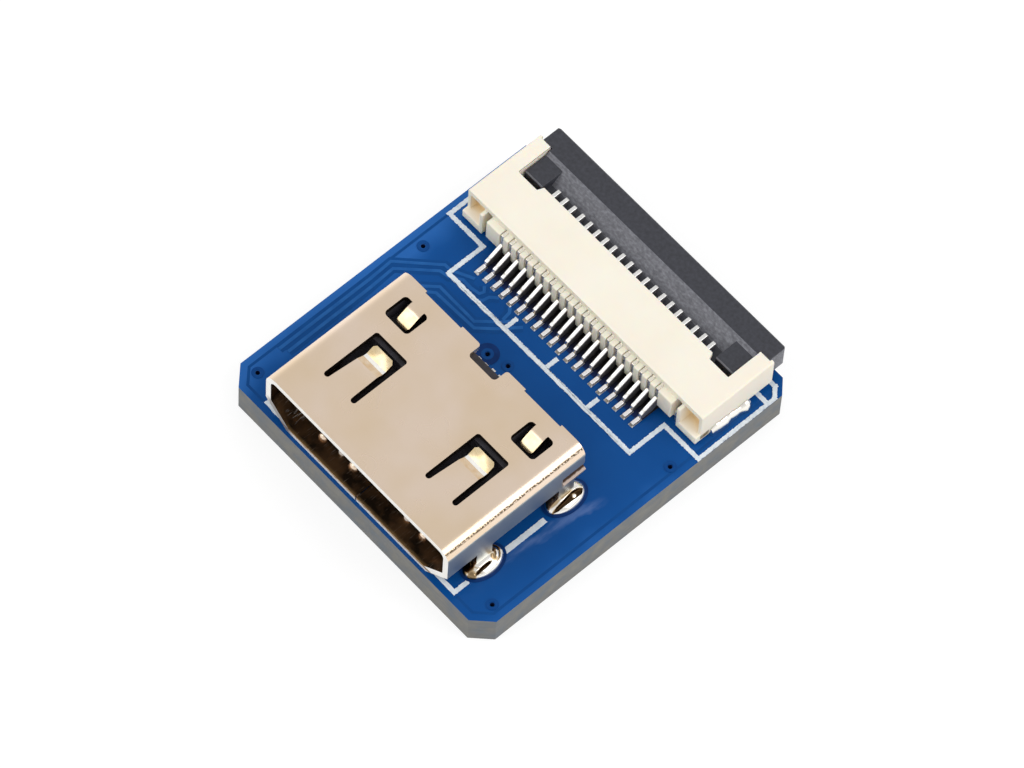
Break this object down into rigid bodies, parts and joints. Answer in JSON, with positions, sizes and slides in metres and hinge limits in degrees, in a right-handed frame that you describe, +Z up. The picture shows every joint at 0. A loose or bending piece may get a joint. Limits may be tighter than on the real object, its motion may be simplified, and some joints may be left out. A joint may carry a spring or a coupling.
{
  "type": "mini hdmi to ribbon cable adapter board",
  "caption": "Small blue circuit board joining a metal mini HDMI socket at its front edge to a slide-lock flat ribbon cable connector at its rear edge.",
  "frame": {"origin": "centre of the board's underside", "axes": "+Y from the HDMI mouth to the ribbon slot, +X to the right as the mouth is faced, +Z up out of the populated face"},
  "size_m": [0.0158, 0.0176, 0.0048],
  "materials": {
    "solder_mask": "glass-fibre board under glossy blue solder mask",
    "print_ink": "matt white printing ink",
    "shell_metal": "satin plated sheet, warm tone",
    "black_plastic": "matt moulded plastic",
    "gold_contact": "gold-plated strip",
    "solder": "bright solder",
    "cream_plastic": "satin moulded plastic",
    "charcoal_plastic": "satin moulded plastic",
    "tin_contact": "bright tin-plated stamped sheet"
  },
  "bodies": {
    "adapter": {"board": "solder_mask", "silkscreen": "print_ink", "socket_shell": "shell_metal", "socket_insulator": "black_plastic", "socket_contact_01": "gold_contact", "socket_contact_02": "gold_contact", "socket_contact_03": "gold_contact", "socket_contact_04": "gold_contact", "socket_contact_05": "gold_contact", "socket_contact_06": "gold_contact", "socket_contact_07": "gold_contact", "socket_contact_08": "gold_contact", "socket_contact_09": "gold_contact", "socket_contact_10": "gold_contact", "socket_contact_11": "gold_contact", "socket_contact_12": "gold_contact", "socket_contact_13": "gold_contact", "socket_contact_14": "gold_contact", "socket_contact_15": "gold_contact", "socket_contact_16": "gold_contact", "socket_contact_17": "gold_contact", "socket_contact_18": "gold_contact", "socket_contact_19": "gold_contact", "socket_contact_solder": "solder", "leg_solder_front_left": "solder", "leg_solder_front_right": "solder", "leg_solder_rear_left": "solder", "leg_solder_rear_right": "solder", "ribbon_housing": "cream_plastic", "ribbon_contact_01": "tin_contact", "ribbon_contact_02": "tin_contact", "ribbon_contact_03": "tin_contact", "ribbon_contact_04": "tin_contact", "ribbon_contact_05": "tin_contact", "ribbon_contact_06": "tin_contact", "ribbon_contact_07": "tin_contact", "ribbon_contact_08": "tin_contact", "ribbon_contact_09": "tin_contact", "ribbon_contact_10": "tin_contact", "ribbon_contact_11": "tin_contact", "ribbon_contact_12": "tin_contact", "ribbon_contact_13": "tin_contact", "ribbon_contact_14": "tin_contact", "ribbon_contact_15": "tin_contact", "ribbon_contact_16": "tin_contact", "ribbon_contact_17": "tin_contact", "ribbon_contact_18": "tin_contact", "ribbon_contact_19": "tin_contact", "ribbon_contact_20": "tin_contact", "ribbon_contact_solder": "solder", "fitting_nail_left": "tin_contact", "fitting_nail_right": "tin_contact", "nail_solder_left": "solder", "nail_solder_right": "solder"},
    "slider": {"ribbon_slider": "charcoal_plastic"}
  },
  "joints": [
    {"name": "slider_slide", "type": "slide", "parent": "adapter", "child": "slider", "axis": [0, 1, 0], "range_m": [0, 0.0012]}
  ]
}
